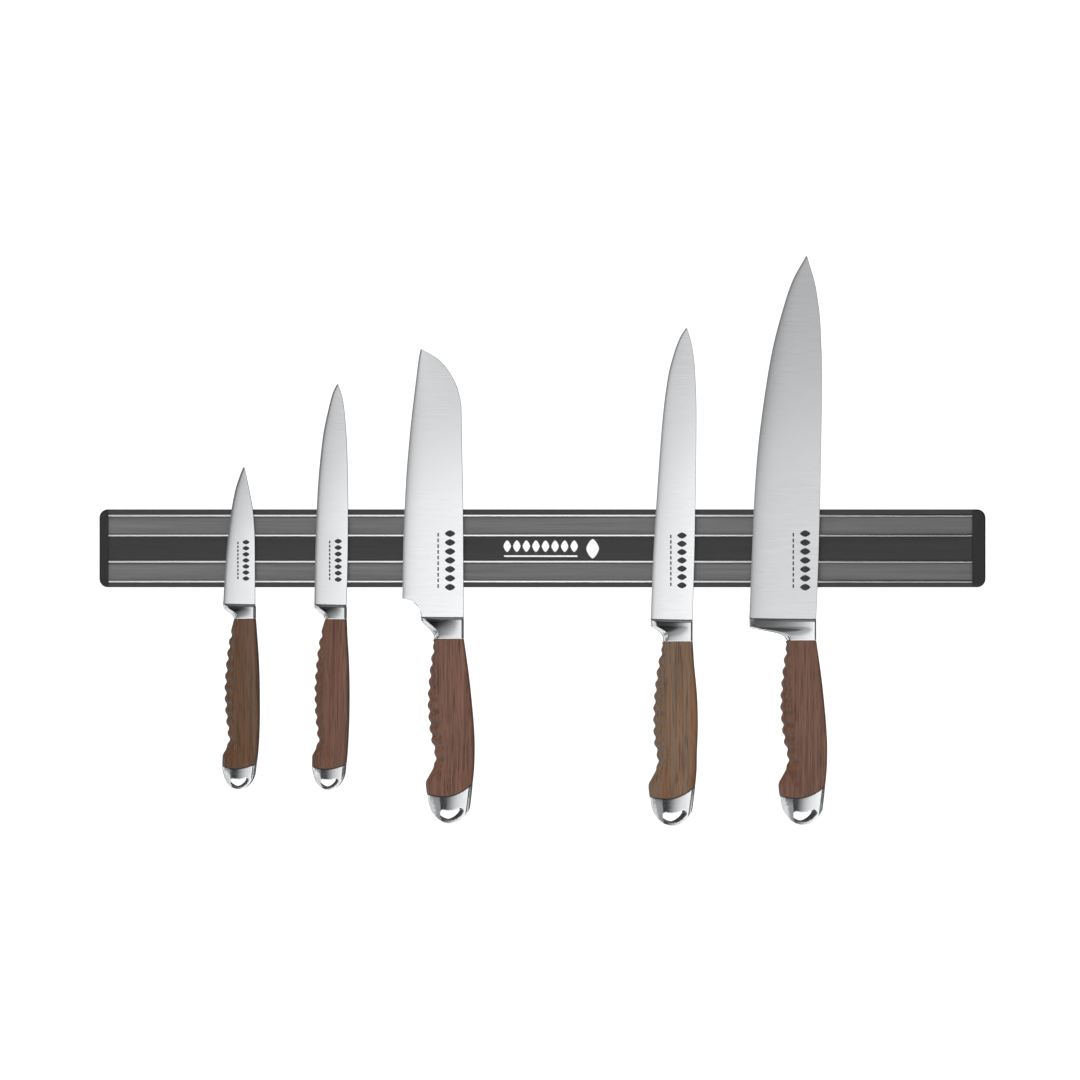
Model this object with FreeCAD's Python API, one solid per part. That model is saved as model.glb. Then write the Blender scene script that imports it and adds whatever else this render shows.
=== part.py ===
"""Wall-mounted magnetic knife rack with five forged knives, in millimetres.

Frame: origin at the middle of the rack's back face, +X along the rack, +Z up, the front faces -Y.
Every knife is drawn upright in its own frame and then placed on the rack:
  v  across the knife, 0 at the spine and growing towards the cutting edge (world -X)
  y  through its thickness, 0 at the middle
  h  height above the shoulder, where the blade meets the bolster; depth d = -h goes down the handle
"""
import FreeCAD
import Part
import math
import os

V = FreeCAD.Vector

# ---------------------------------------------------------------- rack sizes
profile_length = 487.6      # black plastic profile between the two end caps
end_cap_left_length = 5.0
end_cap_right_length = 7.4
end_cap_corner_radius = 4.8
center_band_height = 13.6   # black fascia between the two magnet rows
magnet_height = 10.0
rail_height = 1.2           # each steel pole strip
outer_wall = 2.8            # plastic above the top strip and below the bottom strip
back_wall = 2.0
cell_depth = 5.0            # hollow cells behind the channel floor
channel_floor = 1.5
magnet_depth = 7.8
cover_thickness = 0.9
cover_recess = 0.3          # the grey covers sit this far behind the profile's front
rail_proud = 0.5            # the pole strips stand this far out of the profile
strip_thickness = 0.8       # fascia
rib_wall = 1.5
front_edge_radius = 1.0
magnets_per_row = 10
magnet_gap = 0.5
tongue_length = 8.0         # end-cap tongues inside the profile's cells
tongue_clearance = 0.1
keyhole_spacing = 400.0
keyhole_entry_radius = 4.25
keyhole_slot_width = 4.5
keyhole_rise = 7.0
keyhole_height = -3.0       # of the round entry, from the middle of the rack
keyhole_cell_half = 10.0

# ---------------------------------------------------------------- knife sizes shared by all
rest_gap = 0.15             # between a blade's flat and the pole strips
edge_thickness = 0.2        # at the very edge
bevel_thickness = 0.5       # where the ground bevel starts
bevel_width = 0.9
tip_width = 0.6             # small flat at the point
full_thickness_share = 0.45  # the spine keeps its thickness up to this share of the blade
tongue_depth = 3.0          # blade tongue inside the bolster
tongue_inset = 1.6          # from the spine and from the edge
shoulder_rise = 0.7         # how far the bolster climbs the blade
shoulder_band = 2.0         # height of the concave shoulder, seen from the front
shoulder_hollow = 0.3       # where its curve turns up, as a share of the half thickness
root_thickness_share = 0.55  # the bolster's thickness at the edge, as a share of the spine thickness
bolster_steps = 16          # cross-sections along the bolster
bolster_fall = 0.92         # how far a wide bolster's faces close towards the edge, as a share
wide_bolster = 12.0         # a bolster that stands out this far or more closes all the way
# Where a face turns most, as a share of its width, along the handle: 0.5 turns evenly.
face_bend = [(0, 0.5), (0.75, 0.5), (0.87, 0.6), (1, 0.6)]
wide_bend = -0.3            # a wide bolster turns this much nearer to the spine
facet_swell = 1.5           # the facet widens this much half way down the bolster
edge_share = 0.52           # half thickness of the rounded finger edge, as a share of the face's
scallop_depth = 0.68
scallop_thinning = 0.11     # the same share is this much less in a scallop
scallop_sharpness = 1.6     # above 1 the scallops are narrower than the bumps between them
skin_steps = 60             # cross-sections along the grip and butt
skin_overrun = 2.0          # the skin runs this far past the butt before it is cut round
rod_clearance = 0.02
rod_bite_bolster = 5.0      # length of the tang rod inside the bolster
rod_bite_butt = 3.0         # and inside the butt
hole_to_crease = 0.3        # between the front of the hole and the butt's crease
hole_slant = 0.16           # the hole runs this far towards the finger side per unit of depth
seam_middle = 0.6           # lowest place of the wood-to-butt joint, as a share from the spine side
seam_reach = 1.25           # the wood-to-butt cut runs this far past the handle, as a share
cutter_margin = 0.15
corner_limit = 0.4          # the spine corner is at most this share of the half thickness
edge_rounding = 0.6         # how much of the facet the round finger edge takes
heel_turn_across = 0.05     # control point of the heel's concave cut, as shares of its width and height
heel_turn_up = 0.87
heel_rise = 2.0             # the cut leaves the blade at a slant
beyond = 20.0               # cutters reach this far past the handle

# ---------------------------------------------------------------- two handle sizes
# Outlines run from the top of the wood (0) to the end of the butt (1). Finger side and spine side
# are shares of width; crease is the width of the bevelled facet along the finger side, in mm.
SMALL_HANDLE = {
    "bolster_height": 8.2,
    "length": 96.3,
    "width": 20.0,
    "half_thickness": 7.4,
    "crown_radius": [(0, 70), (0.5, 62), (0.87, 48), (1, 48)],
    "spine_corner": [(0, 0.8), (0.25, 1.8), (1, 1.8)],
    "butt_height": 11.8,
    "butt_rise_finger": 1.5,
    "butt_rise_spine": 2.6,
    "butt_round": 13.4,
    "butt_shift": 0.0,
    "hole_wall": 1.6,
    "hole_top": (4.8, 4.1, 8.2),
    "hole_corner": 1.1,
    "rod_radius": 2.0,
    "scallop_first": 9.6,
    "scallop_pitch": 6.5,
    "scallops": 10,
    "finger": [(0, 0.60), (0.12, 0.735), (0.26, 0.825), (0.41, 0.87), (0.54, 0.85), (0.64, 0.80),
               (0.705, 0.768), (0.76, 0.82), (0.805, 0.925), (0.87, 0.935), (0.93, 0.87), (1, 0.78)],
    "spine": [(0, 0), (0.12, -0.045), (0.26, -0.09), (0.41, -0.11), (0.56, -0.115), (0.69, -0.10),
              (0.79, -0.065), (0.87, -0.015), (0.93, 0.02), (1, 0.06)],
    "facet": [(0, 1.8), (0.15, 3.2), (0.4, 4.6), (0.7, 4.2), (0.85, 4.3), (1, 3.0)],
    "fullness": [(0, 0.93), (0.4, 1.0), (0.7, 0.95), (0.85, 1.0), (1, 1.0)],
}
LARGE_HANDLE = {
    "bolster_height": 12.3,
    "length": 104.0,
    "width": 24.0,
    "half_thickness": 8.8,
    "crown_radius": [(0, 90), (0.5, 80), (0.87, 60), (1, 60)],
    "spine_corner": [(0, 0.9), (0.25, 2.1), (1, 2.1)],
    "butt_height": 15.3,
    "butt_rise_finger": 1.0,
    "butt_rise_spine": 6.4,
    "butt_round": 16.0,
    "butt_shift": 0.5,
    "hole_wall": 2.1,
    "hole_top": (5.9, 5.05, 12.2),
    "hole_corner": 1.5,
    "rod_radius": 2.5,
    "scallop_first": 7.4,
    "scallop_pitch": 6.7,
    "scallops": 10,
    "finger": [(0, 0.683), (0.093, 0.752), (0.217, 0.812), (0.342, 0.842), (0.476, 0.805),
               (0.553, 0.755), (0.629, 0.68), (0.692, 0.70), (0.735, 0.79), (0.783, 0.885),
               (0.85, 0.855), (1, 0.75)],
    "spine": [(0, 0), (0.085, -0.055), (0.217, -0.133), (0.342, -0.19), (0.476, -0.24), (0.58, -0.26),
              (0.67, -0.254), (0.783, -0.213), (0.86, -0.178), (1, -0.10)],
    "facet": [(0, 2.2), (0.15, 4.0), (0.4, 6.4), (0.7, 6.0), (0.82, 7.3), (0.9, 6.9), (1, 5.7)],
    "fullness": [(0, 0.93), (0.4, 1.0), (0.65, 0.94), (0.82, 1.0), (1, 1.0)],
}

# ---------------------------------------------------------------- the five knives
# Blade outlines run from the shoulder (0) to the point (1) and are shares of blade length and of
# blade width at the shoulder. bolster: finger-side outline, (share of bolster height, share of width
# between the top of the wood, 0, and the cutting edge, 1). lean is how far the handle swings towards
# the edge side, in mm, along its length.
KNIVES = {
    "paring": {
        "handle": SMALL_HANDLE, "lean": [(0, 0), (1, 0)],
        "spine_x": -162.0, "shoulder_z": -31.4,
        "blade_length": 77.2, "blade_width": 18.2, "spine_thickness": 1.8,
        "edge": [(0, 1), (0.31, 0.92), (0.61, 0.79), (0.82, 0.635), (0.935, 0.48), (1, 0.356)],
        "back": [(0, 0), (0.47, 0.01), (0.65, 0.055), (0.82, 0.175), (0.935, 0.28), (1, 0.356)],
        "bolster": [(0, 1), (0.28, 0.95), (0.55, 0.50), (0.82, 0.08), (1, 0)],
    },
    "utility": {
        "handle": SMALL_HANDLE, "lean": [(0, 0.1), (0.12, 0.5), (0.45, 0.7), (0.7, 1.0), (1, 0.4)],
        "spine_x": -110.6, "shoulder_z": -31.7,
        "blade_length": 124.3, "blade_width": 18.2, "spine_thickness": 1.9,
        "edge": [(0, 1), (0.24, 0.967), (0.5, 0.9), (0.75, 0.742), (0.895, 0.544), (0.966, 0.4), (1, 0.275)],
        "back": [(0, 0), (0.16, -0.038), (0.4, -0.055), (0.68, -0.027), (0.84, 0.038), (0.933, 0.12),
                 (1, 0.275)],
        "bolster": [(0, 1), (0.24, 0.93), (0.5, 0.56), (0.8, 0.14), (1, 0)],
    },
    "santoku": {
        "handle": LARGE_HANDLE, "lean": [(0, 0), (1, 0)],
        "spine_x": -44.6, "shoulder_z": -38.7,
        "blade_length": 151.1, "blade_width": 34.8, "spine_thickness": 2.2,
        "edge": [(0, 1), (0.265, 0.98), (0.5, 0.937), (0.695, 0.868), (0.86, 0.785), (0.973, 0.718),
                 (1, 0.69)],
        "back": [(0, 0), (0.36, 0.006), (0.66, 0.029), (0.78, 0.037), (0.855, 0.103), (0.914, 0.233),
                 (0.96, 0.40), (1, 0.69)],
        "bolster": [(0, 1), (0.14, 0.97), (0.32, 0.75), (0.5, 0.45), (0.7, 0.16), (0.87, 0.02), (1, 0)],
        "heel_height": 10.4, "bolster_width": 24.1,
    },
    "carving": {
        "handle": LARGE_HANDLE,
        "lean": [(0, 0), (0.15, 1.2), (0.3, 1.6), (0.45, 2.6), (0.62, 3.8), (0.75, 3.6), (1, 3.9)],
        "spine_x": 84.6, "shoulder_z": -40.1,
        "blade_length": 164.3, "blade_width": 23.6, "spine_thickness": 2.2,
        "edge": [(0, 1), (0.18, 0.953), (0.475, 0.83), (0.70, 0.708), (0.834, 0.585), (0.92, 0.428),
                 (0.973, 0.275), (1, 0.144)],
        "back": [(0, 0), (0.22, -0.047), (0.475, -0.076), (0.70, -0.093), (0.86, -0.055), (0.943, 0.023),
                 (1, 0.144)],
        "bolster": [(0, 1), (0.3, 0.98), (0.45, 0.62), (0.6, 0.25), (0.78, 0.06), (1, 0)],
    },
    "chef": {
        "handle": LARGE_HANDLE, "lean": [(0, 0), (1, 0)],
        "spine_x": 154.3, "shoulder_z": -39.6,
        "blade_length": 204.4, "blade_width": 37.7, "spine_thickness": 2.4,
        "edge": [(0, 1), (0.17, 0.963), (0.34, 0.923), (0.47, 0.87), (0.60, 0.782), (0.734, 0.663),
                 (0.866, 0.477), (0.934, 0.347), (1, 0.143)],
        "back": [(0, 0), (0.18, -0.04), (0.4, -0.066), (0.67, -0.0875), (0.81, -0.064), (0.91, 0.003),
                 (1, 0.143)],
        "bolster": [(0, 1), (0.40, 0.99), (0.52, 0.72), (0.62, 0.38), (0.78, 0.10), (1, 0)],
    },
}

# ---------------------------------------------------------------- helpers


def block(x, y, z):
    """A box between the two values of each pair."""
    corner = V(min(x), min(y), min(z))
    return Part.makeBox(abs(x[1] - x[0]), abs(y[1] - y[0]), abs(z[1] - z[0]), corner)


def smooth(points):
    """A smooth function through (position, value) points, with no overshoot."""
    pos = [p[0] for p in points]
    val = [p[1] for p in points]
    slopes = [(val[i + 1] - val[i]) / (pos[i + 1] - pos[i]) for i in range(len(pos) - 1)]
    ends = [slopes[0]]
    for before, after in zip(slopes, slopes[1:]):
        turns = before * after <= 0
        ends.append(0.0 if turns else 2 * before * after / (before + after))
    ends.append(slopes[-1])

    def at(x):
        i = 0
        while i < len(slopes) - 1 and x > pos[i + 1]:
            i += 1
        step = pos[i + 1] - pos[i]
        t = (x - pos[i]) / step
        if t < 0 or t > 1:
            edge = 0 if t < 0 else 1
            return val[i + edge] + ends[i + edge] * (x - pos[i + edge])
        low = (1 + 2 * t) * (1 - t) ** 2 * val[i] + t * t * (3 - 2 * t) * val[i + 1]
        return low + step * (t * (1 - t) ** 2 * ends[i] - t * t * (1 - t) * ends[i + 1])

    return at


def curve(points):
    """One smooth edge through the points."""
    spline = Part.BSplineCurve()
    spline.interpolate(points)
    return spline.toShape()


def bezier(points):
    """One Bezier edge with these control points."""
    line = Part.BezierCurve()
    line.setPoles(points)
    return line.toShape()


def closed_face(curves, corners):
    """A face inside joined curves and the straight lines from their end over the corners to their start."""
    points = [curves[-1].Vertexes[-1].Point] + corners + [curves[0].Vertexes[0].Point]
    sides = [Part.makeLine(a, b) for a, b in zip(points, points[1:])]
    return Part.Face(Part.Wire(curves + sides))


def prism(face, slant=0.0):
    """A face in the knife's middle plane, extruded through the whole handle, straight or at a slant."""
    moved = face.copy()
    moved.translate(V(slant * beyond, -beyond, 0))
    return moved.extrude(V(-2 * slant * beyond, 2 * beyond, 0))


def solid_from(faces):
    """One closed solid from faces that share their edges."""
    shell = Part.makeShell(faces)
    shell.sewShape()
    solid = Part.makeSolid(shell)
    if solid.Volume < 0:
        solid.reverse()
    return solid


def save(name, shape):
    """Write one sub-part, as a single solid where it is one."""
    solids = shape.Solids
    single = solids[0] if len(solids) == 1 else Part.makeCompound(solids)
    print(name, len(solids), round(single.Volume, 1), single.isValid())
    single.exportStep("parts/" + name + ".step")


# ---------------------------------------------------------------- rack, derived places
channel_inner = center_band_height / 2
magnet_inner = channel_inner + rail_height
magnet_outer = magnet_inner + magnet_height
channel_outer = magnet_outer + rail_height
half_height = channel_outer + outer_wall
cell_front = -(back_wall + cell_depth)
floor_front = cell_front - channel_floor
magnet_front = floor_front - magnet_depth
cover_front = magnet_front - cover_thickness
profile_front = cover_front - cover_recess
rail_front = profile_front - rail_proud
overall_length = profile_length + end_cap_left_length + end_cap_right_length
profile_left = -overall_length / 2 + end_cap_left_length
profile_right = profile_left + profile_length
profile_span = (profile_left, profile_right)
side_cell_inner = keyhole_cell_half + rib_wall
side_cell_outer = half_height - rib_wall
CELLS = [(-keyhole_cell_half, keyhole_cell_half), (side_cell_inner, side_cell_outer),
         (-side_cell_outer, -side_cell_inner)]


def rack_body():
    body = block(profile_span, (profile_front, 0), (-half_height, half_height))
    front_edges = []
    for edge in body.Edges:
        middle = edge.CenterOfMass
        on_front = abs(middle.y - profile_front) < 1e-6
        if on_front and abs(abs(middle.z) - half_height) < 1e-6:
            front_edges.append(edge)
    body = body.makeFillet(min(front_edge_radius, outer_wall / 2), front_edges)
    for side in (1, -1):
        channel = (side * channel_inner, side * channel_outer)
        body = body.cut(block(profile_span, (profile_front, floor_front), channel))
    seat_back = profile_front + strip_thickness
    body = body.cut(block(profile_span, (profile_front, seat_back), (-channel_inner, channel_inner)))
    hollow = channel_inner - rib_wall
    body = body.cut(block(profile_span, (seat_back + rib_wall, floor_front), (-hollow, hollow)))
    for cell in CELLS:
        body = body.cut(block(profile_span, (cell_front, -back_wall), cell))
    for side in (1, -1):
        body = body.cut(keyhole(side * keyhole_spacing / 2))
    return body


def keyhole(x):
    """The cutter for one keyhole: a round entry, and a slot that rises from it to a round end."""
    through = V(0, back_wall, 0)
    entry = Part.makeCylinder(keyhole_entry_radius, back_wall, V(x, -back_wall, keyhole_height), through)
    half = keyhole_slot_width / 2
    top = keyhole_height + keyhole_rise
    slot = block((x - half, x + half), (-back_wall, 0), (keyhole_height, top))
    end = Part.makeCylinder(half, back_wall, V(x, -back_wall, top), through)
    return entry.fuse([slot, end]).removeSplitter()


def end_cap(side):
    """A cap with two rounded outer corners and three tongues; side -1 is the left one."""
    inner = profile_right if side > 0 else profile_left
    length = end_cap_right_length if side > 0 else end_cap_left_length
    cap = block((inner, inner + side * length), (rail_front, 0), (-half_height, half_height))
    outer_x = inner + side * length
    corners = []
    for edge in cap.Edges:
        middle = edge.CenterOfMass
        if abs(middle.x - outer_x) < 1e-6 and abs(abs(middle.z) - half_height) < 1e-6:
            corners.append(edge)
    cap = cap.makeFillet(end_cap_corner_radius, corners)
    rim = []
    for edge in cap.Edges:
        box = edge.BoundBox
        on_front = box.YMax < rail_front + 1e-6
        at_joint = box.XLength < 1e-6 and abs(box.XMin - inner) < 1e-6
        if on_front and not at_joint:
            rim.append(edge)
    cap = cap.makeFillet(front_edge_radius, rim)
    for cell in CELLS:
        low = min(cell) + tongue_clearance
        high = max(cell) - tongue_clearance
        depth = (cell_front + tongue_clearance, -back_wall - tongue_clearance)
        cap = cap.fuse(block((inner, inner - side * tongue_length), depth, (low, high)))
    return cap.removeSplitter()


def pole_rail(low):
    return block(profile_span, (rail_front, floor_front), (low, low + rail_height))


def magnet_row(side):
    """Equal ferrite blocks in a row, a small gap between them and at both ends."""
    pitch = (profile_length - magnet_gap) / magnets_per_row
    rows = (side * magnet_inner, side * magnet_outer)
    blocks = []
    for i in range(magnets_per_row):
        start = profile_left + magnet_gap + i * pitch
        blocks.append(block((start, start + pitch - magnet_gap), (magnet_front, floor_front), rows))
    return Part.makeCompound(blocks)


def magnet_cover(side):
    rows = (side * magnet_inner, side * magnet_outer)
    return block(profile_span, (cover_front, magnet_front), rows)


def center_strip():
    depth = (profile_front, profile_front + strip_thickness)
    return block(profile_span, depth, (-channel_inner, channel_inner))


# ---------------------------------------------------------------- blade
def blade_curves(knife):
    """Heights, spine and edge v, bevel-line v and spine half thickness along the blade."""
    length = knife["blade_length"]
    width = knife["blade_width"]
    back = [(h * length, v * width) for h, v in knife["back"]]
    edge = [(h * length, v * width) for h, v in knife["edge"]]
    back[-1] = (back[-1][0], back[-1][1] - tip_width / 2)
    edge[-1] = (edge[-1][0], edge[-1][1] + tip_width / 2)
    inner = []
    for i, (h, v) in enumerate(edge):
        before = edge[max(i - 1, 0)]
        after = edge[min(i + 1, len(edge) - 1)]
        run = math.hypot(after[0] - before[0], after[1] - before[1])
        across = bevel_width * (after[0] - before[0]) / run
        along = bevel_width * (after[1] - before[1]) / run
        inner.append((h + along, v - across))
    inner[0] = (0.0, edge[0][1] - bevel_width)
    inner[-1] = (length, (back[-1][1] + edge[-1][1]) / 2)
    return back, edge, inner


def spine_half_thickness(knife, height):
    """Full thickness over the lower part of the blade, then thinning towards the point."""
    share = height / knife["blade_length"]
    thick = knife["spine_thickness"] / 2
    past = max(0.0, share - full_thickness_share) / (1 - full_thickness_share)
    return thick - (thick - bevel_thickness / 2) * past ** 2


def blade(knife):
    back, edge, inner = blade_curves(knife)
    lines = {}
    for side in (1, -1):
        lines["back", side] = [V(-v, side * spine_half_thickness(knife, h), h) for h, v in back]
        lines["edge", side] = [V(-v, side * edge_thickness / 2, h) for h, v in edge]
        lines["inner", side] = [V(-v, side * bevel_thickness / 2, h) for h, v in inner]
    edges = {key: curve(points) for key, points in lines.items()}
    faces = []
    for side in (1, -1):
        faces.append(Part.makeRuledSurface(edges["inner", side], edges["back", side]))
        faces.append(Part.makeRuledSurface(edges["edge", side], edges["inner", side]))
    faces.append(Part.makeRuledSurface(edges["back", 1], edges["back", -1]))
    faces.append(Part.makeRuledSurface(edges["edge", 1], edges["edge", -1]))
    order = [("back", 1), ("inner", 1), ("edge", 1), ("edge", -1), ("inner", -1), ("back", -1)]
    for end in (0, -1):
        ring = [lines[key][end] for key in order]
        faces.append(Part.Face(Part.makePolygon(ring + ring[:1])))
    body = solid_from(faces)
    root = Part.Face(Part.makePolygon([lines[key][0] for key in order] + [lines[order[0]][0]]))
    reach = knife.get("bolster_width", knife["blade_width"])
    tongue = root.extrude(V(0, 0, -tongue_depth))
    window = block((-tongue_inset, tongue_inset - reach), (-beyond, beyond), (-tongue_depth, 0))
    body = body.fuse(tongue.common(window))
    if "heel_height" in knife:
        body = body.cut(heel_notch(knife))
    return body.removeSplitter()


def heel_notch(knife):
    """The concave cut between the heel corner and the bolster, for a blade without a full bolster."""
    heel = knife["heel_height"]
    reach = knife["bolster_width"]
    width = knife["blade_width"]
    turn = V(-(reach + heel_turn_across * (width - reach)), 0, heel_turn_up * heel)
    corner = V(-width - cutter_margin, 0, heel)
    arc = bezier([V(-reach, 0, 0), turn, corner])
    outer = -width - beyond
    corners = [V(outer, 0, heel + heel_rise), V(outer, 0, -tongue_depth), V(-reach, 0, -tongue_depth)]
    return prism(closed_face([arc], corners))


# ---------------------------------------------------------------- handle skin
def handle_section(depth, outline):
    """One closed cross-section: flat spine side, crowned faces, a facet on each side, round finger edge."""
    spine = outline["spine"]
    finger = outline["finger"]
    half = outline["half"]
    facet = outline["facet"]
    edge_half = outline["edge_half"]
    corner = min(outline["corner"], corner_limit * half)
    crown = outline["crown"]
    crease = finger - facet
    start = spine + corner
    reach = outline["bend"] * (crease - start)
    round_in = edge_rounding * min(edge_half, facet)

    def face(v):
        return half - crown * (v - spine) ** 2

    def place(v, y):
        return V(-v, y, -depth)

    def side_curves(side):
        rounding = [place(spine, side * (half - corner)), place(spine, side * face(start)),
                    place(start, side * face(start))]
        turn = face(start) - 2 * crown * corner * reach
        crowned = [rounding[-1], place(start + reach, side * turn), place(crease, side * face(crease))]
        return rounding, crowned, [crowned[-1], place(finger - round_in, side * edge_half)]

    front = side_curves(-1)
    rear = side_curves(1)
    edges = [Part.makeLine(rear[0][0], front[0][0])]
    edges += [bezier(points) for points in front]
    edges.append(Part.Arc(front[2][1], place(finger, 0), rear[2][1]).toShape())
    edges += [bezier(points[::-1]) for points in reversed(rear)]
    return Part.Wire(edges)


def handle_shape(knife):
    """A function of the depth below the top of the wood that gives the grip's and the butt's outline."""
    handle = knife["handle"]
    width = handle["width"]
    tables = ("finger", "spine", "facet", "fullness", "crown_radius", "spine_corner")
    shares = {key: smooth(handle[key]) for key in tables}
    swing = smooth(knife["lean"])
    bend = smooth(face_bend)
    pitch = handle["scallop_pitch"]
    first = handle["scallop_first"]
    last = first + (handle["scallops"] - 1) * pitch

    def scallop(below):
        if not first - pitch / 2 <= below <= last + pitch / 2:
            return 0.0
        return (0.5 + 0.5 * math.cos(2 * math.pi * (below - first) / pitch)) ** scallop_sharpness

    def at(below):
        share = below / handle["length"]
        lean = swing(share)
        half = handle["half_thickness"] * shares["fullness"](share)
        dip = scallop_depth * scallop(below)
        return {
            "spine": width * shares["spine"](share) + lean,
            "finger": width * shares["finger"](share) + lean - dip,
            "facet": shares["facet"](share) - dip,
            "half": half,
            "edge_half": half * (edge_share - scallop_thinning * scallop(below)),
            "corner": shares["spine_corner"](share),
            "crown": 1 / (2 * shares["crown_radius"](share)),
            "bend": bend(share),
        }

    return at


def handle_skin(knife):
    """The grip and the butt as one body, longer than needed at the bottom end."""
    handle = knife["handle"]
    at = handle_shape(knife)
    step = (handle["length"] + skin_overrun) / skin_steps
    stations = [step * i for i in range(skin_steps + 1)]
    sections = [handle_section(handle["bolster_height"] + below, at(below)) for below in stations]
    return Part.makeLoft(sections, True, False)


def level(handle, below):
    """The height of a place given by its depth below the top of the wood."""
    return -handle["bolster_height"] - below


def butt_ellipse(knife, inset):
    """The rounded end of the butt, seen from the front, moved inwards by inset."""
    handle = knife["handle"]
    below = handle["length"] - handle["butt_round"]
    outline = handle_shape(knife)(below)
    middle = (outline["spine"] + outline["finger"]) / 2
    center = V(handle["butt_shift"] - middle, 0, level(handle, below))
    across = V((outline["finger"] - outline["spine"]) / 2 - inset, 0, 0)
    down = V(0, 0, handle["butt_round"] - inset)
    major, minor = (across, down) if across.Length > down.Length else (down, across)
    ellipse = Part.Ellipse(center + major, center + minor, center)
    return Part.Face(Part.Wire(ellipse.toShape())), center


def below_seam(knife):
    """Everything below the curved joint between the wood and the butt."""
    handle = knife["handle"]
    seam = handle["length"] - handle["butt_height"]
    outline = handle_shape(knife)(seam)
    center = outline["spine"] + seam_middle * (outline["finger"] - outline["spine"])
    low = level(handle, seam)
    parabolas = []
    for end, rise in (("finger", handle["butt_rise_finger"]), ("spine", handle["butt_rise_spine"])):
        tip = center + seam_reach * (outline[end] - center)
        parabolas.append([V(-tip, 0, low + rise * seam_reach ** 2), V(-(center + tip) / 2, 0, low),
                          V(-center, 0, low)])
    curves = [bezier(parabolas[0]), bezier(parabolas[1][::-1])]
    floor = level(handle, handle["length"] + beyond)
    corners = [V(parabolas[1][0].x, 0, floor), V(parabolas[0][0].x, 0, floor)]
    return prism(closed_face(curves, corners))


def butt_end(knife):
    """Everything above the rounded end of the butt."""
    ellipse, center = butt_ellipse(knife, 0)
    wide = knife["handle"]["width"]
    upper = block((center.x - wide, center.x + wide), (-beyond, beyond), (center.z, 0))
    return prism(ellipse).fuse(upper)


def hang_hole(knife):
    """A slanted hole that follows the rounded end, stops at the crease and has a sagging top."""
    handle = knife["handle"]
    inner, center = butt_ellipse(knife, handle["hole_wall"])
    low = level(handle, handle["length"] - handle["hole_wall"])
    outline = handle_shape(knife)(handle["length"] - handle["hole_wall"] - handle["hole_top"][1])
    left = outline["facet"] - outline["finger"] + hole_to_crease
    right = -outline["spine"]
    heights = [low + height for height in handle["hole_top"]]
    top = Part.Arc(V(left, 0, heights[0]), V(center.x, 0, heights[1]), V(right, 0, heights[2])).toShape()
    below = level(handle, handle["length"])
    face = closed_face([top], [V(right, 0, below), V(left, 0, below)]).common(inner)
    face.translate(V(-hole_slant * outline["half"], 0, 0))
    hole = prism(face.Faces[0], hole_slant)
    return hole.makeFillet(handle["hole_corner"], through_edges(hole)).common(prism(inner))


def through_edges(hole):
    """The edges of a prism that run through the handle."""
    return [edge for edge in hole.Edges if edge.BoundBox.YLength > beyond]


def tang_ends(knife):
    """The two ends of the tang rod, on the middle line of the handle."""
    handle = knife["handle"]
    seam = handle["length"] - handle["butt_height"]
    ends = []
    for below, bite in ((0, -rod_bite_bolster), (seam, rod_bite_butt)):
        outline = handle_shape(knife)(below)
        ends.append(V(-(outline["spine"] + outline["finger"]) / 2, 0, level(handle, below + bite)))
    return ends


def tang_rod(knife, extra):
    """The steel rod, or with extra the hole for it."""
    high, low = tang_ends(knife)
    along = low - high
    return Part.makeCylinder(knife["handle"]["rod_radius"] + extra, along.Length, high, along)


# ---------------------------------------------------------------- bolster
def bolster(knife, blade_solid):
    """A forged collar that thins towards the edge, with a concave shoulder below the blade."""
    height = knife["handle"]["bolster_height"]
    wood = handle_shape(knife)(0)
    reach = knife.get("bolster_width", knife["blade_width"])
    spread = smooth(knife["bolster"])
    thin = knife["spine_thickness"] * root_thickness_share
    closed = bolster_fall * wood["half"] / (reach - wood["spine"]) ** 2
    wide = min(1.0, (reach - wood["finger"]) / wide_bolster)
    closing = (closed - wood["crown"]) * wide
    above = shoulder_band - shoulder_rise
    sections = []
    for i in range(bolster_steps + 1):
        depth = (height + above) * i / bolster_steps - above
        share = max(0.0, depth) / height
        outline = dict(wood)
        outline["finger"] += (reach - wood["finger"]) * spread(share)
        outline["edge_half"] += (thin - wood["edge_half"]) * spread(share)
        outline["crown"] += closing * spread(share)
        outline["bend"] += wide_bend * wide * spread(share)
        outline["facet"] += facet_swell * math.sin(math.pi * share)
        sections.append(handle_section(depth, outline))
    collar = Part.makeLoft(sections, True, False)
    return collar.common(shoulder(knife, wood["half"])).cut(blade_solid)


def shoulder(knife, half):
    """The space under the concave shoulder, on both sides of the blade."""
    foot = shoulder_rise - shoulder_band
    low = -knife["handle"]["bolster_height"]
    outer = half + cutter_margin
    crest = V(beyond, 0, shoulder_rise)
    slopes = []
    for side in (-1, 1):
        slopes.append([V(beyond, side * outer, foot), V(beyond, side * outer * shoulder_hollow, foot), crest])
    curves = [bezier(slopes[0]), bezier(slopes[1][::-1])]
    face = closed_face(curves, [V(beyond, outer, low), V(beyond, -outer, low)])
    return face.extrude(V(-2 * beyond - knife["blade_width"], 0, 0))


# ---------------------------------------------------------------- placing a knife on the rack
def place(shape, knife):
    """Turn the knife until its rear flat is parallel to the rack, and set it against the pole strips."""
    slope = (knife["spine_thickness"] - bevel_thickness) / 2 / (knife["blade_width"] - bevel_width)
    turn = math.atan(slope)
    stand_off = rest_gap + knife["spine_thickness"] / 2 * math.cos(turn)
    moved = shape.copy()
    moved.rotate(V(0, 0, 0), V(0, 0, 1), -math.degrees(turn))
    moved.translate(V(knife["spine_x"], rail_front - stand_off, knife["shoulder_z"]))
    return moved


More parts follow.
